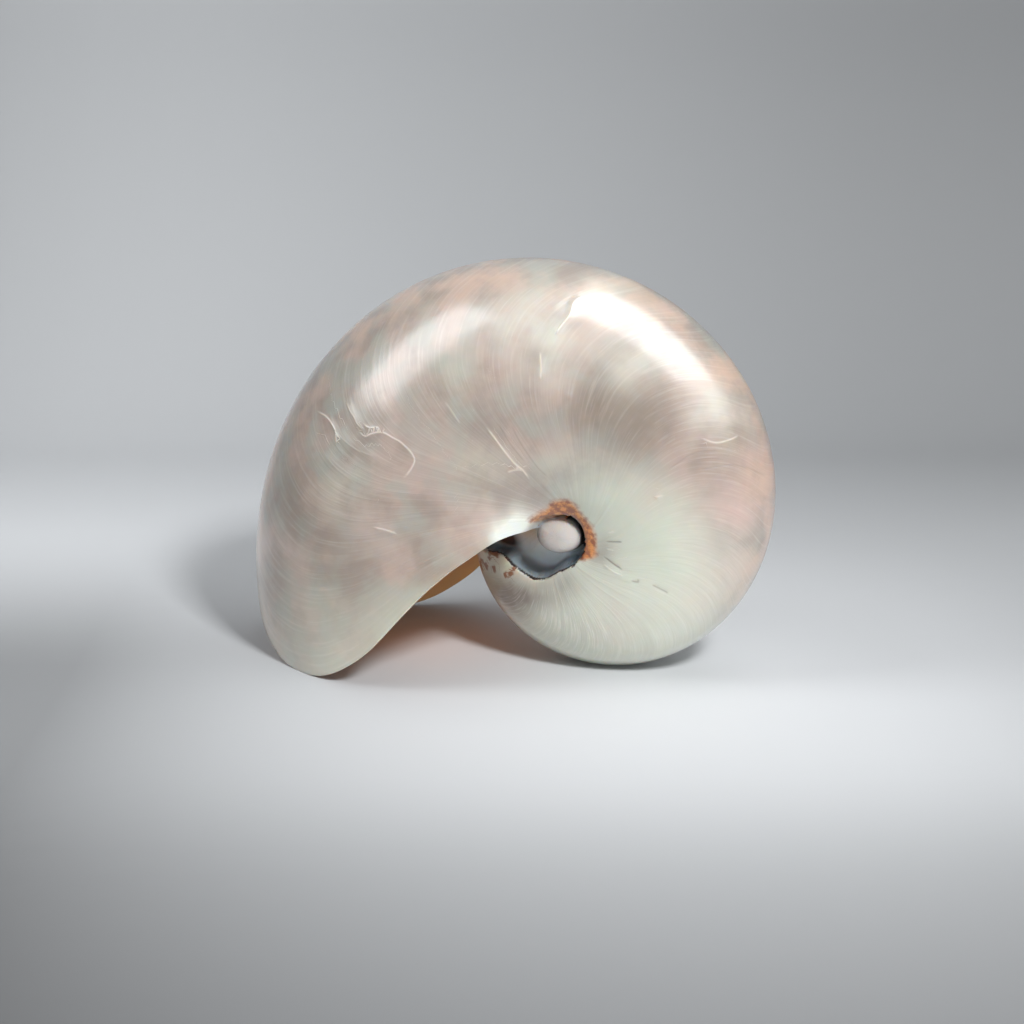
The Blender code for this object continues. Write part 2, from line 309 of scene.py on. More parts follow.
# Lines on the near flank: (degrees, millimetres) along them, half width and height of the soft fold, height
# of its crisp crest, all in millimetres. A negative height is a groove
LINES = (
    (((515.8, 75.0), (515.0, 71.6), (515.0, 69.4), (515.4, 67.5), (516.0, 66.0), (517.1, 65.0),
      (518.5, 64.0)),
     1.0, 0.13, 0.14),
    (((516.0, 66.0), (516.2, 63.4), (516.4, 60.1), (516.2, 57.2), (515.4, 53.7), (514.8, 52.0)), 1.6, 0.12,
     0.02),
    (((509.0, 68.2), (509.9, 65.2), (510.2, 63.1), (510.9, 61.1), (511.0, 58.4)), 1.2, 0.10, 0.04),
    (((512.1, 60.5), (512.1, 57.4), (510.5, 56.1), (508.9, 54.7), (507.7, 53.1), (507.0, 50.1), (506.4, 48.0),
      (506.4, 45.3), (506.8, 43.3), (507.9, 41.8), (510.0, 41.3), (513.6, 41.4), (516.5, 42.1)), 1.1, 0.12,
      0.13),
    (((509.8, 59.4), (509.6, 57.8), (508.8, 56.5), (507.4, 54.9)), 0.9, 0.06, 0.10),
    (((521.3, 66.8), (523.2, 62.0), (523.9, 57.8), (524.7, 53.4)), 1.8, 0.12, 0.015),
    (((477.4, 35.7), (476.0, 31.9), (474.2, 27.6), (471.7, 23.7), (468.5, 21.4), (466.7, 18.7)), 1.0, 0.16,
     0.14),
    (((478.9, 22.4), (474.6, 22.3), (469.2, 21.7)), 0.9, 0.06, 0.10),
    (((472.2, 35.2), (470.2, 29.2), (465.9, 23.5)), 0.8, 0.06, -0.04),
    (((467.2, 34.2), (464.5, 27.8), (459.0, 21.8), (451.8, 18.2)), 0.8, 0.05, -0.04),
    (((486.7, 46.8), (486.3, 43.6), (486.1, 39.8)), 1.0, 0.14, 0.06),
    (((535.5, 46.2), (535.6, 42.5), (536.2, 39.6)), 1.0, 0.35, 0.10),
    (((446.2, 64.7), (447.7, 63.1), (447.8, 60.3), (449.6, 57.1), (450.3, 55.7)), 1.0, 0.35, 0.2),
    (((454.2, 51.3), (453.6, 47.4), (453.8, 44.3)), 0.9, 0.22, 0.10),
    (((387.3, 30.8), (386.4, 32.5)), 0.8, 0.25, 0.08),
    (((398.0, 48.1), (394.1, 50.0), (392.5, 53.0), (392.2, 54.8)), 1.0, 0.2, 0.08),
    (((394.4, 33.2), (395.3, 43.9), (391.5, 50.1)), 1.4, -0.12, -0.03),
    (((389.1, 43.9), (385.3, 51.2), (377.9, 56.0)), 1.2, -0.10, -0.03),
    (((360.7, 13.4), (361.4, 15.7), (362.2, 18.0)), 0.6, -0.12, -0.10),
    (((340.8, 13.3), (338.2, 16.4), (337.3, 19.2)), 0.7, -0.14, -0.10),
    (((332.2, 13.8), (331.6, 17.0), (333.0, 20.4)), 0.7, 0.10, 0.08),
    (((371.3, 14.4), (371.8, 16.4)), 0.5, 0.05, 0.08),
    (((351.5, 13.7), (352.3, 15.4)), 0.5, 0.05, 0.08),
    (((337.0, 28.1), (336.2, 32.8)), 0.7, -0.14, -0.08),
    (((333.0, 22.6), (334.6, 24.4), (336.6, 24.0)), 0.7, -0.14, -0.08),
)
PITS = (((430.2, 34.3), 1.5, -0.35), ((430.2, 34.3), 2.8, 0.16), ((443.0, 40.6), 1.0, 0.25),
        ((367.0, 52.0), 0.6, 0.2))

# Brown strokes left by the rust on the old coil beside the lip
STROKES = (((203.5, 29.6), (205.0, 28.6), (209.4, 27.1)), ((204.0, 29.9), (209.9, 30.4)),
           ((205.5, 27.9), (210.4, 27.7)),
           ((208.6, 25.0), (213.6, 25.4)), ((202.6, 25.6), (205.2, 25.0)), ((216.2, 22.1), (221.0, 22.5)),
           ((219.0, 21.7), (220.8, 19.7)), ((215.7, 18.7), (219.8, 18.6)),
           ((199.0, 24.8), (201.5, 23.7), (204.2, 21.4)))

# Soft patches of tint on the flanks: (degrees, millimetres), radius in millimetres, strength. The pale cream
# patches are partly the nacre's own colour and partly painted sheen; the darkest grey-brown ones, on the old
# coil beside the lip, are partly painted shade
TINTS = {
    "taupe_and_shade": (((352, 13), 4, 0.5), ((335, 12), 3, 0.4), ((262, 17), 5, 0.5), ((285, 14), 4, 0.5),
              ((242, 20), 5, 0.4),
              # The two patches on the old coil beside the lip are partly painted shade
              ((394, 43), 9, 0.5), ((389, 52), 7, 0.4), ((224, 28), 7, 1.0), ((237, 25), 6, 0.6),
              ((429, 44), 8, 0.9), ((412, 44), 8, 0.9), ((437, 38), 6, 0.7), ((417, 36), 6, 0.5),
              ((489, 58), 8, 0.3),
              ((533, 70), 9, 0.4), ((548, 56), 10, 0.3)),
    "rose": (((392, 43), 7, 0.7), ((375, 44), 8, 0.7), ((355, 44), 8, 0.5), ((370, 50), 6, 0.6),
             ((383, 56), 7, 0.7), ((399, 47), 6, 0.5), ((387, 29), 6, 0.5), ((466, 50), 8, 0.5),
             ((524, 21), 8, 0.6),
             ((445, 26), 6, 0.6), ((300, 26), 9, 0.4), ((340, 42), 8, 0.3), ((536, 48), 9, 0.5),
             ((505, 44), 8, 0.4)),
    "sage": (((420, 21), 8, 0.8), ((378, 25), 10, 0.8), ((442, 19), 7, 0.7), ((353, 29), 12, 0.7),
             ((528, 58), 9, 0.5),
             ((491, 27), 7, 0.6), ((280, 24), 12, 0.5), ((395, 50), 6, 0.5), ((480, 52), 7, 0.4),
             ((558, 62), 12, 0.4)),
    # Partly painted sheen: on the callus, and on the flank between and below the two highlights
    "milk_and_sheen": (((460, 60), 9, 0.5), ((448, 54), 9, 0.5), ((444, 67), 7, 0.5), ((428, 51), 7, 0.5),
             ((519, 11), 3.5, 1.0), ((500, 10), 4, 0.9), ((529, 13), 3.5, 1.0), ((515, 17), 4, 0.3),
             ((405, 54), 5, 0.6),
             ((398, 55), 4, 0.5), ((450, 45), 4, 0.4)),
    "feather": (((268, 26), 9, 0.6), ((288, 30), 9, 0.5), ((240, 26), 6, 0.15)),
}
# Inside the pocket: tan under the lip, and painted shade, nearly black, in its far corner, on the line of sight
# of the photograph
POCKET_TINTS = {"tan": (((176, 11.5), 5.5, 1.0),),
                "black": (((192, 20.5), 3.6, 1.3), ((200, 18.0), 2.2, 0.5))}


def spots(x, z, angle, places):
    """Sum of round patches that fade outwards as a bell curve, on their own whorl only."""
    total = np.zeros(x.shape)
    for (at, out), size, strength in places:
        cx = out * math.cos(math.radians(at))
        cz = out * math.sin(math.radians(at))
        total += (np.abs(angle - at) < 75) * strength * np.exp(-((x - cx) ** 2 + (z - cz) ** 2) / size ** 2)
    return total


def relief(angle, distance):
    """Height of folds and pits over the smooth skin, in millimetres."""
    turn = np.radians(angle)
    x = distance * np.cos(turn)
    z = distance * np.sin(turn)
    height = spots(x, z, angle, PITS)
    for line, width, rise, _ in LINES:
        middle = np.mean([a for a, _ in line])
        away, along = to_line(x, z, line)
        taper = ease(0.0, 0.2, along) * (1 - ease(0.8, 1.0, along))
        height += (np.abs(angle - middle) < 60) * rise * taper * np.exp(-(away / width) ** 2)
    return height


def nearest_line(x, z, angle, lines):
    """Signed distance to the nearest of some lines, and that line's height, nothing at its ends."""
    best = np.full(x.shape, FAR)
    strength = np.zeros(x.shape)
    for line, rise in lines:
        middle = np.mean([a for a, _ in line])
        away, along = to_line(x, z, line)
        away = np.where(np.abs(angle - middle) < 60, away, FAR)
        closer = np.abs(away) < np.abs(best)
        taper = ease(0.0, 0.12, along) * (1 - ease(0.88, 1.0, along))
        best = np.where(closer, away, best)
        strength = np.where(closer, rise * taper, strength)
    return best, strength


def swellings(angle, distance):
    """Low growth swellings on both flanks: waves along the growth angle, faded at axis and keel."""
    share = distance / radius(angle)
    growth = angle + lip_lag(share)
    fade = ease(0.12, 0.4, share) * (1 - ease(0.85, 1.0, share))
    return 0.05 * waves(np.radians(growth) * 7, 21, 7) * fade * (radius(angle) / 60.0)


def knit(rows, columns, start):
    """Corner numbers of the quads of a grid stored row by row."""
    i, j = np.meshgrid(np.arange(rows - 1), np.arange(columns - 1), indexing="ij")
    a = start + i * columns + j
    return np.stack([a, a + 1, a + columns + 1, a + columns], axis=-1).reshape(-1, 4)


class Patches:
    """Collects grids of points with the values that the finish reads at each one."""

    def __init__(self):
        self.points = []
        self.values = []
        self.quads = []
        self.count = 0

    def add(self, points, **values):
        """Keep a grid of points, knit it and note its values."""
        rows, columns = points.shape[:2]
        self.quads.append(knit(rows, columns, self.count))
        self.points.append(points.reshape(-1, 3))
        self.values.append({k: np.broadcast_to(v, (rows, columns)).reshape(-1) for k, v in values.items()})
        self.count += rows * columns


def finish_values(angle, distance, side, inside):
    """Values that the finish reads at each point: lengths in millimetres, shares from 0 to 1.

    stain is how far inside the rust's two lines a point lies, edge how far inside the hole, and rim how wide
    the black film on that edge is. crest_at and stroke_at are signed distances to the nearest line. growth is
    the growth angle in degrees, side is -1 on the near flank, and the rest are shares and strengths of tints.
    """
    share = distance / radius(angle)
    stain = np.minimum(through(STAIN_OUTER, angle) - distance, distance - through(STAIN_INNER, angle))
    stain = np.where(angle < 222.0, -5.0, stain)
    edge = np.where(side <= 0, hole_edge(angle, -1), hole_edge(angle, 1)) - distance
    covered = ease(428, 452, angle)
    edge = edge * (1 - covered) - 5.0 * covered
    rim = 1.8 * ease(300, 330, angle)
    x = distance * np.cos(np.radians(angle))
    z = distance * np.sin(np.radians(angle))
    near = np.broadcast_to(side, angle.shape) <= 0
    crest_at, crest = nearest_line(x, z, angle, [(line, height) for line, _, _, height in LINES])
    stroke_at, stroke = nearest_line(x, z, angle, [(line, 1.0) for line in STROKES])
    values = dict(growth=angle + lip_lag(share), share=share, from_axis=distance, stain=stain, edge=edge,
                  rim=rim,
                  side=side, inside=inside, crest_at=crest_at, crest=crest * near, stroke_at=stroke_at,
                  stroke=stroke * near)
    values["pale"] = 1 - ease(400, 460, angle + 130 * (share - 0.25)) + 0.45 * ease(548, 573, angle)
    for name, places in (*TINTS.items(), *POCKET_TINTS.items()):
        values[name] = spots(x, z, angle, places)
    return values


def build_shell():
    """The whole shell as one closed surface.

    Outer skin from one full turn behind the lip up to the lip, the rounded lip, the inner skin back to the
    last chamber wall, that wall, and the skin over the older coil forward to where the outer skin began.
    """
    patches = Patches()
    all_columns = np.arange(len(DISC))
    growths = row_growths()
    outer, angle, distance = grid(growths, DISC_RADIUS, all_columns)
    normals = grid_normals(outer)
    near = (SIDE < 0)[None, :]
    lift = relief(angle, distance) * near * ease(8.0, 12.0, distance) + swellings(angle, distance)
    lift = lift * ease(0, 4, growths - growths[0])[:, None] * ease(0, 3, growths[-1] - growths)[:, None]
    outer = outer + normals * lift[..., None]
    side = np.broadcast_to(SIDE, angle.shape)
    patches.add(outer, **finish_values(angle, distance, side, 0.0))

    # Rounded lip, from the outer to the inner skin
    mouth = np.arange(FIRST, LAST + 1)
    opening = ease(0, 6, np.minimum(mouth - FIRST, LAST - mouth))[:, None]
    lip_out = outer[-1, mouth]
    out = normals[-1, mouth]
    forward = outer[-1, mouth] - outer[-3, mouth]
    forward = forward / np.linalg.norm(forward, axis=-1, keepdims=True)
    half = LIP_EDGE / 2 * opening
    middle = lip_out - out * half
    turns = np.linspace(0, math.pi, 7)
    edge_rows = np.stack([middle + half * (math.cos(a) * out + 0.6 * math.sin(a) * forward) for a in turns])
    lip_values = finish_values(angle[-1, mouth], distance[-1, mouth], SIDE[mouth], 0.0)
    lip_values["inside"] = np.linspace(0.0, 1.0, 7)[:, None]
    patches.add(edge_rows, **lip_values)

    # Inner skin and the skin over the older coil meet in one line beside the axis on each flank
    steps = np.linspace(0, 1, INNER_ROWS) ** 1.7
    inner_growths = LIP_ANGLE - CHAMBER_ANGLE * steps
    back = (LIP_ANGLE - inner_growths)
    outer_low = DISC_RADIUS + 3.5 * ease(0, 25, back)
    coil_low = DISC_RADIUS + 2.5 * ease(0, 25, back)
    inner, inner_angle, inner_distance = grid(inner_growths, outer_low, mouth)
    inner_normals = -grid_normals(inner)
    forwardness = 1 - steps
    thickness = WALL + (LIP_WALL - WALL) * forwardness ** 4
    thickness = thickness + (LIP_EDGE - LIP_WALL) * (1 - ease(0, 6, back))
    inner = inner - inner_normals * (thickness[:, None] * opening[:, 0][None, :])[..., None]
    inner[0] = edge_rows[-1]
    coil, coil_angle, coil_distance = grid(inner_growths - 360.0, coil_low, mouth)
    coil_normals = -grid_normals(coil)
    layer = INNER_LAYER * ease(0, 60, back)
    coil = coil + coil_normals * (layer[:, None] * opening[:, 0][None, :])[..., None]
    coil[0] = outer[0, mouth]
    to_corner = 1 - ease(0, 6, np.minimum(mouth - FIRST, LAST - mouth))
    meet = to_corner[None, :] * ease(0, 8, back)[:, None]
    meet[:, [0, -1]] = 1.0
    middle = (inner + coil) / 2
    inner = inner + (middle - inner) * meet[..., None]
    coil = coil + (middle - coil) * meet[..., None]
    inner[0, 0] = coil[0, 0] = outer[0, FIRST]
    inner[0, -1] = coil[0, -1] = outer[0, LAST]
    patches.add(inner, **finish_values(inner_angle, inner_distance, SIDE[mouth], 1.0))
    patches.add(coil, **finish_values(coil_angle, coil_distance, SIDE[mouth], ease(28, 70, back)[:, None]))

    # The wall that closes the living chamber, bowed back
    share = np.linspace(0, 1, SEPTUM_ROWS)
    flat = inner[-1][None] + (coil[-1] - inner[-1])[None] * share[:, None, None]
    dished = np.sin(np.linspace(0, math.pi, len(mouth))) ** 2
    bow = np.radians(SEPTUM_DEPTH * np.sin(math.pi * share)[:, None] * dished[None, :])
    septum = np.stack([flat[..., 0] * np.cos(bow) + flat[..., 2] * np.sin(bow), flat[..., 1],
                       flat[..., 2] * np.cos(bow) - flat[..., 0] * np.sin(bow)], axis=-1)
    values = finish_values(inner_angle[-1], inner_distance[-1], SIDE[mouth], 1.0)
    patches.add(septum, **values)
    return patches


def to_rest(points):
    """Turn and lift points from the coil's own frame to where the shell rests, in metres."""
    x, y, z = points[..., 0], points[..., 1], points[..., 2]
    c, s = math.cos(REST_TURN), math.sin(REST_TURN)
    return np.stack([x * c + z * s + REST_SHIFT[0], y, z * c - x * s + REST_SHIFT[1]], axis=-1) * MM


def shell_object():
    """Weld the patches into one closed mesh with its faces outwards, keeping the values at its points."""
    patches = build_shell()
    points = to_rest(np.concatenate(patches.points))
    quads = np.concatenate(patches.quads)
    mesh = bpy.data.meshes.new("pearl_shell")
    mesh.from_pydata(points, [], quads)
    for name in patches.values[0]:
        layer = mesh.attributes.new(name, "FLOAT", "POINT")
        layer.data.foreach_set("value", np.concatenate([v[name] for v in patches.values]).astype(np.float32))
    shape = bmesh.new()
    shape.from_mesh(mesh)
    bmesh.ops.remove_doubles(shape, verts=shape.verts, dist=2e-6)
    bmesh.ops.triangulate(shape, faces=shape.faces)
    bmesh.ops.recalc_face_normals(shape, faces=shape.faces)
    shape.to_mesh(mesh)
    shape.free()
    mesh.shade_smooth()
    obj = bpy.data.objects.new("pearl_shell", mesh)
    bpy.context.scene.collection.objects.link(obj)
    return obj


def linear(hex_colour):
    """sRGB hex to linear RGBA."""
    values = [int(hex_colour[i:i + 2], 16) / 255 for i in (1, 3, 5)]
    return tuple(v / 12.92 if v <= 0.04045 else ((v + 0.055) / 1.055) ** 2.4 for v in values) + (1.0,)


def node(tree, kind, inputs=None, output=0, **settings):
    """Add one node with its settings, link or fill its inputs, and return one of its outputs."""
    new = tree.nodes.new(kind)
    for name, value in settings.items():
        setattr(new, name, value)
    for slot, value in (inputs or {}).items():
        if isinstance(value, bpy.types.NodeSocket):
            tree.links.new(value, new.inputs[slot])
        else:
            new.inputs[slot].default_value = value
    return new.outputs[output] if new.outputs else new


# Blender's names for the kinds of node, with the settings that go with them
MATHS = "ShaderNodeMath"
NOISE = "ShaderNodeTexNoise"
SPAN = "ShaderNodeMapRange"
MIX = "ShaderNodeMix"
SOFT = {"interpolation_type": "SMOOTHSTEP"}
COLOUR = {"data_type": "RGBA"}


def build_pearl():
    """Nacre, ground and polished: warm grey with cloudy pink and green tints, a broad gloss under a sharper one.

    The growth lines run across the gloss and comb its ends, the folds catch it as thin bright lines, helped by
    a painted glint on their crests. Painted shade darkens the grooves, the pocket's far corner and wall and a
    ring round the knob's foot, and some pale tints partly paint sheen.
    """
    material = bpy.data.materials.new("polished_nacre")
    material.use_nodes = True
    tree = material.node_tree
    tree.nodes.clear()
    place = node(tree, "ShaderNodeTexCoord", output="Object")
    values = {}
    for name in ("growth", "share", "from_axis", "stain", "edge", "rim", "side", "inside", "crest_at",
                 "crest",
                 "stroke_at", "stroke", "pale", "taupe_and_shade", "rose", "sage", "milk_and_sheen", "feather", "tan", "black"):
        values[name] = node(tree, "ShaderNodeAttribute", output="Fac", attribute_name=name)

    # Growth lines follow the old lips: noise over growth angle and share of the radius, 0.9 degrees apart
    across = node(tree, MATHS, {0: values["growth"], 1: 0.125}, operation="MULTIPLY")
    along = node(tree, MATHS, {0: values["share"], 1: 0.6}, operation="MULTIPLY")
    lines = node(tree, "ShaderNodeCombineXYZ", {0: across, 1: along, 2: values["side"]})
    comb = node(tree, NOISE, {"Vector": lines, "Scale": 9.0, "Detail": 3.0, "Roughness": 0.6})
    bands = node(tree, NOISE, {"Vector": lines, "Scale": 1.5, "Detail": 4.0, "Roughness": 0.55})
    # Clouds 15 mm across, blotches 9 mm across and grain of 2 mm
    cloud = node(tree, NOISE, {"Vector": place, "Scale": 65.0, "Detail": 5.0, "Roughness": 0.55})
    aside = node(tree, "ShaderNodeVectorMath", {0: place, 1: (0.31, 0.12, 0.57)}, operation="ADD")
    blotch = node(tree, NOISE, {"Vector": aside, "Scale": 110.0, "Detail": 2.5, "Roughness": 0.45})
    grain = node(tree, NOISE, {"Vector": place, "Scale": 480.0, "Detail": 4.0, "Roughness": 0.6})

    # Warm grey, drifting to pink and to a cool green
    pinker = node(tree, SPAN, {0: cloud, 1: 0.36, 2: 0.64}, **SOFT)
    colour = node(tree, MIX, {0: pinker, 6: linear("#978D84"), 7: linear("#B0A097")}, 2, **COLOUR)
    greener = node(tree, SPAN, {0: blotch, 1: 0.42, 2: 0.66, 4: 0.75}, **SOFT)
    colour = node(tree, MIX, {0: greener, 6: colour, 7: linear("#9EA098")}, 2, **COLOUR)
    # Peach along the keel, in clouds
    keel = node(tree, SPAN, {0: values["share"], 1: 0.84, 2: 0.99, 4: 0.6}, **SOFT)
    banded = node(tree, SPAN, {0: cloud, 1: 0.38, 2: 0.62}, **SOFT)
    keel = node(tree, MATHS, {0: keel, 1: banded}, operation="MULTIPLY")
    colour = node(tree, MIX, {0: keel, 6: colour, 7: linear("#CDAF9B")}, 2, **COLOUR)
    # Tints, each with its patches broken up by the clouds or the blotches. The pale cream ones are partly
    # painted sheen, and the grey-brown ones beside the lip partly painted shade
    tints = (("pale", "#CDD0C2", cloud, 0.85, 1.0), ("taupe_and_shade", "#84796F", blotch, 0.4, 1.1),
             ("rose", "#C9ABA3", blotch, 0.0, 0.8), ("sage", "#B9C0B0", cloud, 0.0, 0.9),
             ("milk_and_sheen", "#E4E0D6", blotch, 0.3, 0.9))
    for name, tint, pattern, least, most in tints:
        broken = node(tree, SPAN, {0: pattern, 1: 0.25, 2: 0.75, 3: least, 4: most}, **SOFT)
        amount = node(tree, MATHS, {0: broken, 1: values[name]}, operation="MULTIPLY", use_clamp=True)
        colour = node(tree, MIX, {0: amount, 6: colour, 7: linear(tint)}, 2, **COLOUR)
    # Fine pale and dark streaks along the growth lines
    outward = node(tree, SPAN, {0: values["share"], 1: 0.2, 2: 0.65}, **SOFT)
    feathers = node(tree, MATHS, {0: values["feather"], 1: 0.9, 2: 0.16}, operation="MULTIPLY_ADD")
    feathers = node(tree, MATHS, {0: feathers, 1: outward}, operation="MULTIPLY")
    streaks = ((comb, 0.45, 0.8, feathers, "#F0EDE6"), (bands, 0.5, 0.8, 0.14, "#8F8177"),
               (bands, 0.5, 0.2, 0.16, "#CFC6BC"))
    for source, low, high, strength, tint in streaks:
        amount = node(tree, SPAN, {0: source, 1: low, 2: high, 4: strength}, **SOFT)
        colour = node(tree, MIX, {0: amount, 6: colour, 7: linear(tint)}, 2, **COLOUR)
    # Crests of the folds are painted pale: a painted glint along each crest, added to the gloss that the bump
    # gives them
    squared = node(tree, MATHS, {0: values["crest_at"], 1: values["crest_at"]}, operation="MULTIPLY")
    narrow = node(tree, MATHS, {0: squared, 1: -14.0}, operation="MULTIPLY")
    narrow = node(tree, MATHS, {0: narrow}, operation="EXPONENT")
    crest = node(tree, MATHS, {0: narrow, 1: values["crest"]}, operation="MULTIPLY")
    crest_glint = node(tree, MATHS, {0: crest, 1: 3.2}, operation="MULTIPLY", use_clamp=True)
    colour = node(tree, MIX, {0: crest_glint, 6: colour, 7: linear("#F2EBE2")}, 2, **COLOUR)
    # and painted shade darkens the grooves
    groove_shade = node(tree, MATHS, {0: crest, 1: -6.0}, operation="MULTIPLY", use_clamp=True)
    colour = node(tree, MIX, {0: groove_shade, 6: colour, 7: linear("#7E776C")}, 2, **COLOUR)

    # Rust stain: orange at its outer side, brown beside the hole, ragged and thin at its rim
    ragged = node(tree, MATHS, {0: grain, 1: 3.2, 2: values["stain"]}, operation="MULTIPLY_ADD")
    rust_share = node(tree, SPAN, {0: ragged, 1: 0.7, 2: 3.1, 4: 1.0}, **SOFT)
    streaky = node(tree, SPAN, {0: grain, 1: 0.38, 2: 0.62}, **SOFT)
    rust = node(tree, MIX, {0: streaky, 6: linear("#D58A38"), 7: linear("#8F4A1A")}, 2, **COLOUR)
    beside = node(tree, SPAN, {0: values["edge"], 1: -1.6, 2: -0.2, 4: 0.75}, **SOFT)
    rust = node(tree, MIX, {0: beside, 6: rust, 7: linear("#7C4022")}, 2, **COLOUR)
    colour = node(tree, MIX, {0: rust_share, 6: colour, 7: rust}, 2, **COLOUR)
    stroke_width = node(tree, MATHS, {0: grain, 1: 1.8, 2: -0.3}, operation="MULTIPLY_ADD")
    off_stroke = node(tree, MATHS, {0: values["stroke_at"]}, operation="ABSOLUTE")
    off_stroke = node(tree, MATHS, {0: stroke_width, 1: off_stroke}, operation="SUBTRACT")
    stroke = node(tree, SPAN, {0: off_stroke, 1: -0.15, 2: 0.15, 4: 0.85}, **SOFT)
    stroke = node(tree, MATHS, {0: stroke, 1: values["stroke"]}, operation="MULTIPLY")
    colour = node(tree, MIX, {0: stroke, 6: colour, 7: linear("#7E4722")}, 2, **COLOUR)

    # The pocket is blue grey and tan under the lip, with painted shade: nearly black in its far corner, darker
    # on the wall beside its edge and in a ring round the knob's foot
    pocket = node(tree, MIX, {0: pinker, 6: linear("#D0DDE6"), 7: linear("#C2CCCC")}, 2, **COLOUR)
    pocket = node(tree, MIX, {0: values["tan"], 6: pocket, 7: linear("#DDBD9A")}, 2, clamp_factor=True,
                  **COLOUR)
    # Painted shade in the pocket's far corner under the lip, nearly black
    pocket = node(tree, MIX, {0: values["black"], 6: pocket, 7: linear("#16191B")}, 2, clamp_factor=True,
                  **COLOUR)
    stretch = np.array([1.0, 0.0, 1 / KNOB_OVAL]) / MM
    # Painted shade on the hole's steep wall, darker towards the broken edge
    beside = node(tree, SPAN, {0: values["edge"], 1: 4.0, 2: 0.8, 4: 0.8}, **SOFT)
    pocket = node(tree, MIX, {0: beside, 6: pocket, 7: linear("#5E6A72")}, 2, **COLOUR)
    middle = to_rest(np.array([KNOB_PLACE[0], 0.0, KNOB_PLACE[2]])) * stretch
    flat = node(tree, "ShaderNodeVectorMath", {0: place, 1: tuple(stretch)}, operation="MULTIPLY")
    from_knob = node(tree, "ShaderNodeVectorMath", {0: flat, 1: tuple(middle)}, "Value", operation="DISTANCE")
    # Painted shade: a dark ring round the foot of the knob, in its crease with the floor
    knob_foot_shade = node(tree, SPAN, {0: from_knob, 1: KNOB_RADIUS + 0.5, 2: KNOB_RADIUS + 0.1, 4: 0.8}, **SOFT)
    pocket = node(tree, MIX, {0: knob_foot_shade, 6: pocket, 7: linear("#2B3030")}, 2, **COLOUR)
    knob = node(tree, SPAN, {0: from_knob, 1: KNOB_RADIUS + 0.1, 2: KNOB_RADIUS - 0.3}, **SOFT)
    in_hole = node(tree, SPAN, {0: values["edge"], 1: -0.1, 2: 0.1}, **SOFT)
    colour = node(tree, MIX, {0: in_hole, 6: colour, 7: pocket}, 2, **COLOUR)
    colour = node(tree, MIX, {0: knob, 6: colour, 7: linear("#BFBAB6")}, 2, **COLOUR)
    # Black film on the broken edge, with small teeth
    toothed = node(tree, MATHS, {0: grain, 1: 1.2, 2: values["edge"]}, operation="MULTIPLY_ADD")
    film = node(tree, SPAN, {0: toothed, 1: 0.3, 2: 0.5}, **SOFT)
    past = node(tree, MATHS, {0: values["edge"], 1: values["rim"]}, operation="SUBTRACT")
    past = node(tree, SPAN, {0: past, 1: 0.16, 2: 0.0}, **SOFT)
    film = node(tree, MATHS, {0: film, 1: past}, operation="MULTIPLY")
    off_knob = node(tree, MATHS, {0: 1.0, 1: knob}, operation="SUBTRACT")
    film = node(tree, MATHS, {0: film, 1: off_knob}, operation="MULTIPLY")
    colour = node(tree, MIX, {0: film, 6: colour, 7: linear("#1B1A1B")}, 2, **COLOUR)
    # The living chamber is tan inside
    inner = node(tree, MATHS, {0: values["inside"], 1: 0.92}, operation="MULTIPLY")
    colour = node(tree, MIX, {0: inner, 6: colour, 7: linear("#C09B74")}, 2, **COLOUR)

    # Relief too fine for the mesh, in millimetres: growth lines, polishing waves and the crests
    height = node(tree, MATHS, {0: outward, 1: 0.05}, operation="MULTIPLY")
    height = node(tree, MATHS, {0: height, 1: comb}, operation="MULTIPLY")
    height = node(tree, MATHS, {0: bands, 1: 0.22, 2: height}, operation="MULTIPLY_ADD")
    height = node(tree, MATHS, {0: height, 1: crest}, operation="ADD")
    bump = node(tree, "ShaderNodeBump", {"Strength": 1.0, "Distance": MM, "Height": height})
    shader = node(tree, "ShaderNodeBsdfPrincipled", {
        "Base Color": colour, "Roughness": 0.31, "Normal": bump, "IOR": 1.6, "Specular IOR Level": 0.7,
        "Coat Weight": 1.0, "Coat Roughness": 0.17, "Coat IOR": 1.5, "Subsurface Weight": 0.6,
        "Subsurface Radius": (1.0, 0.55, 0.3), "Subsurface Scale": 0.006})
    node(tree, "ShaderNodeOutputMaterial", {"Surface": shader})
    return material


# The camera's direction and framing
CAMERA_AZIMUTH = math.radians(18.3691)
CAMERA_HEIGHT = math.radians(14.041)
CAMERA_DISTANCE = 12 * COIL_RADIUS
CAMERA_SHIFT = (-0.359 * COIL_RADIUS, 0.0399 * COIL_RADIUS)
PIXELS_PER_RADIUS = 192.3054
FRAME_PIXELS = 1024
SENSOR = 36.0


def add_camera():
    """Camera at the photograph's angle: it looks along its own back vector, moved sideways and up."""
    a, e = CAMERA_AZIMUTH, CAMERA_HEIGHT
    back = Vector((math.sin(a) * math.cos(e), -math.cos(a) * math.cos(e), math.sin(e)))
    right = Vector((math.cos(a), math.sin(a), 0.0))
    up = back.cross(right)
    spot = back * CAMERA_DISTANCE + right * CAMERA_SHIFT[0] + up * CAMERA_SHIFT[1]
    spot = to_rest(np.array(spot))
    data = bpy.data.cameras.new("camera")
    data.sensor_width = SENSOR
    data.lens = PIXELS_PER_RADIUS * CAMERA_DISTANCE / COIL_RADIUS / FRAME_PIXELS * SENSOR
    data.clip_start = 0.01
    camera = bpy.data.objects.new("camera", data)
    turn = Matrix.Rotation(REST_TURN, 4, "Y") @ Matrix((right, up, back)).transposed().to_4x4()
    camera.matrix_world = Matrix.Translation(Vector(spot)) @ turn
    bpy.context.scene.collection.objects.link(camera)
    bpy.context.scene.camera = camera
    return back, right, up


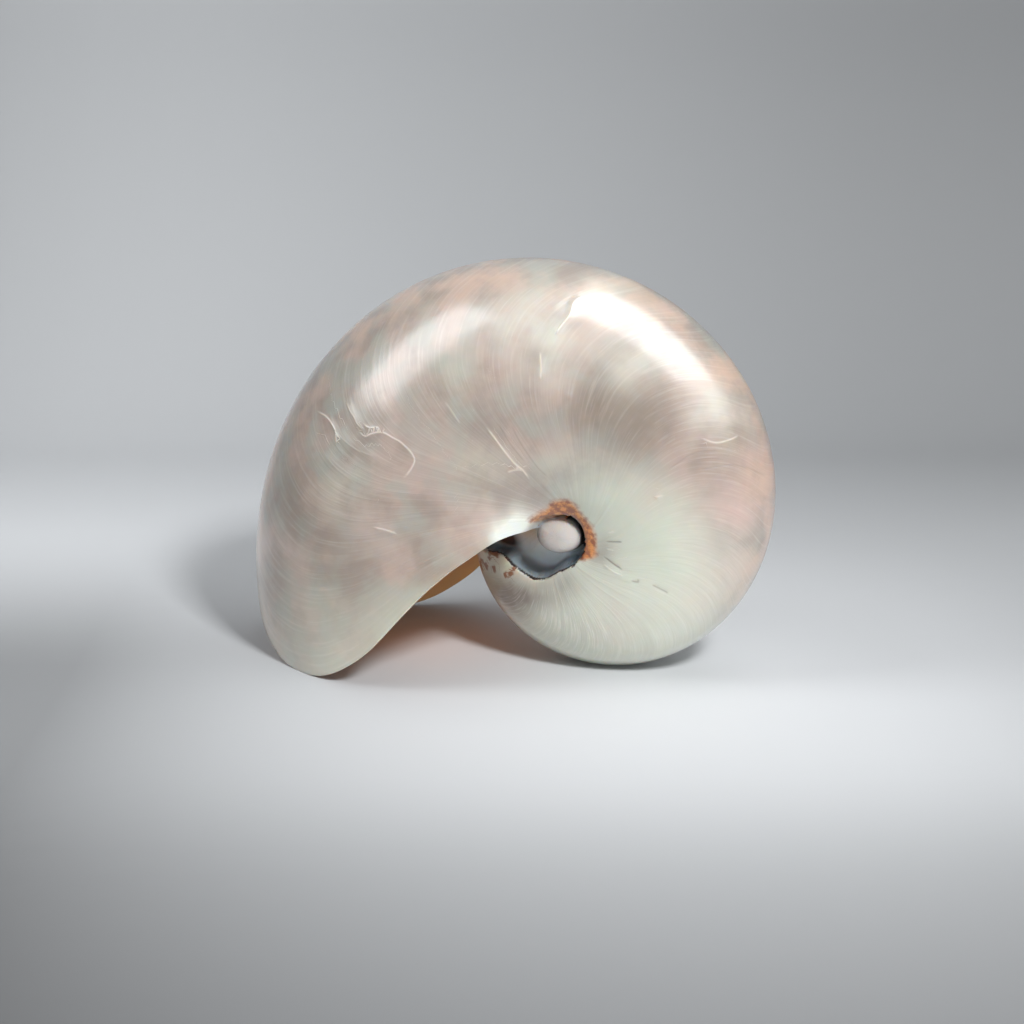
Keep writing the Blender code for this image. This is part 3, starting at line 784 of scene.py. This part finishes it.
# The paper's floor and backdrop, in metres from the axis, and its painted falloff of light there: 0 is black, 1
# is the palest
FLOOR_BACK = 0.26
BEND = 0.16
BACKDROP_TOP = 1.2
PAPER_FRONT = -1.6
PAPER_HALF = 2.4
FALLOFF_BY_DEPTH = ((-0.30, 0.12), (-0.228, 0.20), (-0.16, 0.33), (-0.09, 0.56), (0.0, 0.64), (0.12, 0.54),
                 (0.22, 0.46),
                 (0.42, 0.36), (0.9, 0.33))
FALLOFF_BY_SIDE = ((-0.35, 0.95), (-0.17, 1.28), (0.0, 1.04), (0.15, 0.78), (0.35, 0.64))


def add_stage():
    """Pale paper floor that curves up into a backdrop, with a painted falloff of light: darker towards the
    corners.
    """
    flat = np.concatenate([np.linspace(PAPER_FRONT, -0.5, 6), np.linspace(-0.4, FLOOR_BACK, 45)])
    bend = np.radians(np.linspace(5, 90, 18))
    away = np.concatenate([flat, FLOOR_BACK + BEND * np.sin(bend), np.full(20, FLOOR_BACK + BEND)])
    rise = np.concatenate([0 * flat, BEND * (1 - np.cos(bend)), np.linspace(BEND, BACKDROP_TOP, 21)[1:]])
    wide = np.linspace(-1, 1, 81)
    wide = PAPER_HALF * np.sign(wide) * np.abs(wide) ** 2
    depth, across = np.meshgrid(away, wide, indexing="ij")
    up = np.broadcast_to(rise[:, None], depth.shape)
    turn = CAMERA_AZIMUTH
    points = np.stack([across * math.cos(turn) - depth * math.sin(turn),
                       across * math.sin(turn) + depth * math.cos(turn), up - 0.0001], axis=-1)
    # Painted falloff of light, set by depth and from side to side, darker towards the front corners
    painted_falloff = through(FALLOFF_BY_DEPTH, depth + up * 0.5)
    sideways = through(FALLOFF_BY_SIDE, across)
    behind = ease(-0.02, 0.15, depth)
    front = 1 - 0.9 * (across - 0.04) ** 2 / 0.04
    painted_falloff = painted_falloff * (behind * sideways + (1 - behind) * np.clip(front, 0.4, 1.0))
    mesh = bpy.data.meshes.new("studio_floor")
    mesh.from_pydata(points.reshape(-1, 3), [], knit(*depth.shape, 0))
    layer = mesh.attributes.new("painted_falloff", "FLOAT", "POINT")
    layer.data.foreach_set("value", painted_falloff.reshape(-1).astype(np.float32))
    mesh.shade_smooth()
    obj = bpy.data.objects.new("studio_floor", mesh)
    bpy.context.scene.collection.objects.link(obj)
    material = bpy.data.materials.new("matt_paper")
    material.use_nodes = True
    tree = material.node_tree
    shader = tree.nodes["Principled BSDF"]
    shader.inputs["Roughness"].default_value = 0.75
    share = node(tree, "ShaderNodeAttribute", output="Fac", attribute_name="painted_falloff")
    paper = node(tree, MIX, {0: share, 6: (0.0, 0.0, 0.0, 1.0), 7: (0.94, 0.97, 1.0, 1.0)}, 2, **COLOUR)
    tree.links.new(paper, shader.inputs["Base Color"])
    mesh.materials.append(material)


def add_light(name, direction, distance, size, power, colour="#FFFFFF", aim=(0.0, 0.0, 0.05), mirrored=True,
              diffuse=True):
    """Soft box: a rectangular light at a direction and distance from the aim, turned to face it.

    One that isn't mirrored leaves no gloss on the shell, and one that isn't diffuse leaves only gloss.
    """
    data = bpy.data.lights.new(name, "AREA")
    data.shape = "RECTANGLE"
    data.size, data.size_y = size
    data.energy = power
    data.color = linear(colour)[:3]
    obj = bpy.data.objects.new(name, data)
    direction = Vector(direction).normalized()
    obj.location = Vector(aim) + direction * distance
    obj.rotation_euler = direction.to_track_quat("Z", "Y").to_euler()
    obj.visible_glossy = mirrored
    obj.visible_diffuse = diffuse
    bpy.context.scene.collection.objects.link(obj)
    return obj


def add_lights():
    """Two soft boxes that the polish mirrors, a key and fills that it doesn't, and a dim room.

    The small glow under the arch stands for the warm light that comes through the thin wall.
    """
    add_light("box_right", (0.47, -0.10, 0.87), 0.75, (0.48, 0.74), 6.0, diffuse=False)
    add_light("box_left", (-0.613, -0.398, 0.68), 0.80, (0.33, 0.56), 2.6)
    add_light("key", (0.80, -0.85, 0.90), 0.90, (0.14, 0.14), 9.0, mirrored=False)
    add_light("top", (0.3, 0.1, 1.0), 0.90, (0.6, 0.6), 1.8, mirrored=False)
    add_light("side", (0.98, -0.1, 0.2), 0.90, (0.6, 0.6), 1.2, mirrored=False)
    add_light("screen_front", (0.45, -0.80, 0.25), 1.20, (1.3, 0.8), 0.9, mirrored=False)
    add_light("card_low", (0.40, -0.90, -0.02), 0.50, (0.7, 0.14), 0.5, mirrored=False)
    add_light("glow", (-0.3, 0.0, 1.0), 0.012, (0.02, 0.02), 0.0018, "#FF9A55", (-0.022, 0.0, 0.016))
    world = bpy.data.worlds.new("room")
    world.use_nodes = True
    shade = world.node_tree.nodes["Background"]
    shade.inputs["Color"].default_value = linear("#E4E8EE")
    shade.inputs["Strength"].default_value = 0.11
    bpy.context.scene.world = world
    bpy.context.scene.view_settings.view_transform = "Standard"


def main():
    """Camera, stage, lights and the dressed shell, which rides on its body and replaces its solid."""
    add_camera()
    add_stage()
    add_lights()
    shell = shell_object()
    shell.data.materials.append(build_pearl())
    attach(shell, "root")
    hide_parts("shell")


main()
